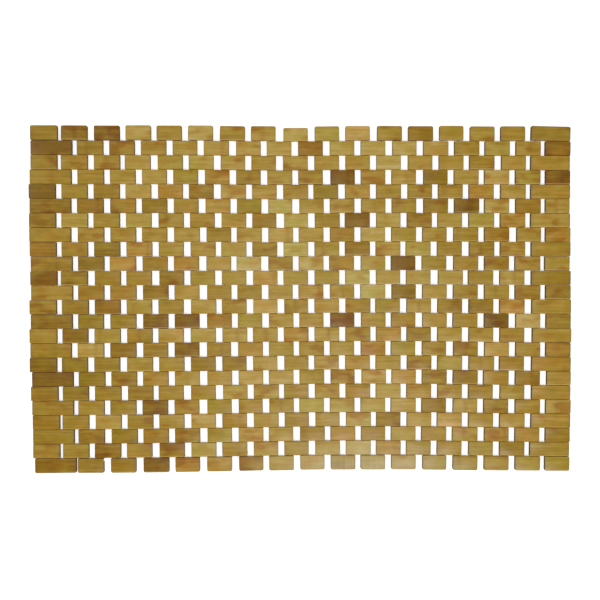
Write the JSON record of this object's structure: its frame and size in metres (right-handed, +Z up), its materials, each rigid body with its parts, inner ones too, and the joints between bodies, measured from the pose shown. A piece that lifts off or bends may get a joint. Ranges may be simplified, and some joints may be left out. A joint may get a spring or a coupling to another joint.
{
  "type": "bath mat",
  "caption": "Roll-up lattice bath mat of short bamboo slats in staggered rows, strung on one hidden cord so that it bends along every cord run and drains between the slats.",
  "frame": {"origin": "middle of the underside, on the surface that the mat lies on", "axes": "+X along the slats and the mat's length, +Y across the mat along the cord runs, +Z up"},
  "size_m": [0.7988, 0.5108, 0.006],
  "materials": {
    "bamboo": "satin clear-coated bamboo, fine fibres along each slat, warm olive to golden tan with some darker brown slats",
    "cord": "matt twisted cord, tan"
  },
  "bodies": {
    "left_end": {"odd_row_slats_01": "bamboo", "even_row_slats_01": "bamboo", "start_knot": "cord"},
    "odd_column_02": {"odd_row_slats_02": "bamboo"},
    "even_column_02": {"even_row_slats_02": "bamboo"},
    "odd_column_03": {"odd_row_slats_03": "bamboo"},
    "even_column_03": {"even_row_slats_03": "bamboo"},
    "odd_column_04": {"odd_row_slats_04": "bamboo"},
    "even_column_04": {"even_row_slats_04": "bamboo"},
    "odd_column_05": {"odd_row_slats_05": "bamboo"},
    "even_column_05": {"even_row_slats_05": "bamboo"},
    "odd_column_06": {"odd_row_slats_06": "bamboo"},
    "even_column_06": {"even_row_slats_06": "bamboo"},
    "odd_column_07": {"odd_row_slats_07": "bamboo"},
    "even_column_07": {"even_row_slats_07": "bamboo"},
    "odd_column_08": {"odd_row_slats_08": "bamboo"},
    "even_column_08": {"even_row_slats_08": "bamboo"},
    "odd_column_09": {"odd_row_slats_09": "bamboo"},
    "even_column_09": {"even_row_slats_09": "bamboo"},
    "odd_column_10": {"odd_row_slats_10": "bamboo"},
    "even_column_10": {"even_row_slats_10": "bamboo"},
    "odd_column_11": {"odd_row_slats_11": "bamboo"},
    "even_column_11": {"even_row_slats_11": "bamboo"},
    "odd_column_12": {"odd_row_slats_12": "bamboo"},
    "even_column_12": {"even_row_slats_12": "bamboo"},
    "odd_column_13": {"odd_row_slats_13": "bamboo"},
    "even_column_13": {"even_row_slats_13": "bamboo"},
    "odd_column_14": {"odd_row_slats_14": "bamboo"},
    "even_column_14": {"even_row_slats_14": "bamboo"},
    "odd_column_15": {"odd_row_slats_15": "bamboo"},
    "even_column_15": {"even_row_slats_15": "bamboo"},
    "odd_column_16": {"odd_row_slats_16": "bamboo"},
    "even_column_16": {"even_row_slats_16": "bamboo"},
    "right_end": {"odd_row_slats_17": "bamboo", "even_row_slats_17": "bamboo", "last_cord_run": "cord", "end_knot": "cord"}
  },
  "joints": [
    {"name": "fold_01", "type": "hinge", "parent": "left_end", "child": "odd_column_02", "pos_m": [-0.3465, 0, 0.003], "axis": [0, -1, 0], "range_deg": [-20.5, 20.5]},
    {"name": "fold_02", "type": "hinge", "parent": "odd_column_02", "child": "even_column_02", "pos_m": [-0.3234, 0, 0.003], "axis": [0, -1, 0], "range_deg": [-21, 21]},
    {"name": "fold_03", "type": "hinge", "parent": "even_column_02", "child": "odd_column_03", "pos_m": [-0.3003, 0, 0.003], "axis": [0, -1, 0], "range_deg": [-21, 21]},
    {"name": "fold_04", "type": "hinge", "parent": "odd_column_03", "child": "even_column_03", "pos_m": [-0.2772, 0, 0.003], "axis": [0, -1, 0], "range_deg": [-21.5, 21.5]},
    {"name": "fold_05", "type": "hinge", "parent": "even_column_03", "child": "odd_column_04", "pos_m": [-0.2541, 0, 0.003], "axis": [0, -1, 0], "range_deg": [-21.5, 21.5]},
    {"name": "fold_06", "type": "hinge", "parent": "odd_column_04", "child": "even_column_04", "pos_m": [-0.231, 0, 0.003], "axis": [0, -1, 0], "range_deg": [-22, 22]},
    {"name": "fold_07", "type": "hinge", "parent": "even_column_04", "child": "odd_column_05", "pos_m": [-0.2079, 0, 0.003], "axis": [0, -1, 0], "range_deg": [-22, 22]},
    {"name": "fold_08", "type": "hinge", "parent": "odd_column_05", "child": "even_column_05", "pos_m": [-0.1848, 0, 0.003], "axis": [0, -1, 0], "range_deg": [-22.5, 22.5]},
    {"name": "fold_09", "type": "hinge", "parent": "even_column_05", "child": "odd_column_06", "pos_m": [-0.1617, 0, 0.003], "axis": [0, -1, 0], "range_deg": [-23, 23]},
    {"name": "fold_10", "type": "hinge", "parent": "odd_column_06", "child": "even_column_06", "pos_m": [-0.1386, 0, 0.003], "axis": [0, -1, 0], "range_deg": [-23, 23]},
    {"name": "fold_11", "type": "hinge", "parent": "even_column_06", "child": "odd_column_07", "pos_m": [-0.1155, 0, 0.003], "axis": [0, -1, 0], "range_deg": [-23.5, 23.5]},
    {"name": "fold_12", "type": "hinge", "parent": "odd_column_07", "child": "even_column_07", "pos_m": [-0.0924, 0, 0.003], "axis": [0, -1, 0], "range_deg": [-24, 24]},
    {"name": "fold_13", "type": "hinge", "parent": "even_column_07", "child": "odd_column_08", "pos_m": [-0.0693, 0, 0.003], "axis": [0, -1, 0], "range_deg": [-24.5, 24.5]},
    {"name": "fold_14", "type": "hinge", "parent": "odd_column_08", "child": "even_column_08", "pos_m": [-0.0462, 0, 0.003], "axis": [0, -1, 0], "range_deg": [-24.5, 24.5]},
    {"name": "fold_15", "type": "hinge", "parent": "even_column_08", "child": "odd_column_09", "pos_m": [-0.0231, 0, 0.003], "axis": [0, -1, 0], "range_deg": [-25, 25]},
    {"name": "fold_16", "type": "hinge", "parent": "odd_column_09", "child": "even_column_09", "pos_m": [0, 0, 0.003], "axis": [0, -1, 0], "range_deg": [-25.5, 25.5]},
    {"name": "fold_17", "type": "hinge", "parent": "even_column_09", "child": "odd_column_10", "pos_m": [0.0231, 0, 0.003], "axis": [0, -1, 0], "range_deg": [-26, 26]},
    {"name": "fold_18", "type": "hinge", "parent": "odd_column_10", "child": "even_column_10", "pos_m": [0.0462, 0, 0.003], "axis": [0, -1, 0], "range_deg": [-26.5, 26.5]},
    {"name": "fold_19", "type": "hinge", "parent": "even_column_10", "child": "odd_column_11", "pos_m": [0.0693, 0, 0.003], "axis": [0, -1, 0], "range_deg": [-27, 27]},
    {"name": "fold_20", "type": "hinge", "parent": "odd_column_11", "child": "even_column_11", "pos_m": [0.0924, 0, 0.003], "axis": [0, -1, 0], "range_deg": [-27.5, 27.5]},
    {"name": "fold_21", "type": "hinge", "parent": "even_column_11", "child": "odd_column_12", "pos_m": [0.1155, 0, 0.003], "axis": [0, -1, 0], "range_deg": [-28, 28]},
    {"name": "fold_22", "type": "hinge", "parent": "odd_column_12", "child": "even_column_12", "pos_m": [0.1386, 0, 0.003], "axis": [0, -1, 0], "range_deg": [-29, 29]},
    {"name": "fold_23", "type": "hinge", "parent": "even_column_12", "child": "odd_column_13", "pos_m": [0.1617, 0, 0.003], "axis": [0, -1, 0], "range_deg": [-29.5, 29.5]},
    {"name": "fold_24", "type": "hinge", "parent": "odd_column_13", "child": "even_column_13", "pos_m": [0.1848, 0, 0.003], "axis": [0, -1, 0], "range_deg": [-30, 30]},
    {"name": "fold_25", "type": "hinge", "parent": "even_column_13", "child": "odd_column_14", "pos_m": [0.2079, 0, 0.003], "axis": [0, -1, 0], "range_deg": [-31, 31]},
    {"name": "fold_26", "type": "hinge", "parent": "odd_column_14", "child": "even_column_14", "pos_m": [0.231, 0, 0.003], "axis": [0, -1, 0], "range_deg": [-32, 32]},
    {"name": "fold_27", "type": "hinge", "parent": "even_column_14", "child": "odd_column_15", "pos_m": [0.2541, 0, 0.003], "axis": [0, -1, 0], "range_deg": [-33, 33]},
    {"name": "fold_28", "type": "hinge", "parent": "odd_column_15", "child": "even_column_15", "pos_m": [0.2772, 0, 0.003], "axis": [0, -1, 0], "range_deg": [-34, 34]},
    {"name": "fold_29", "type": "hinge", "parent": "even_column_15", "child": "odd_column_16", "pos_m": [0.3003, 0, 0.003], "axis": [0, -1, 0], "range_deg": [-35, 35]},
    {"name": "fold_30", "type": "hinge", "parent": "odd_column_16", "child": "even_column_16", "pos_m": [0.3234, 0, 0.003], "axis": [0, -1, 0], "range_deg": [-36, 36]},
    {"name": "fold_31", "type": "hinge", "parent": "even_column_16", "child": "right_end", "pos_m": [0.3465, 0, 0.003], "axis": [0, -1, 0], "range_deg": [-70, 70]}
  ]
}
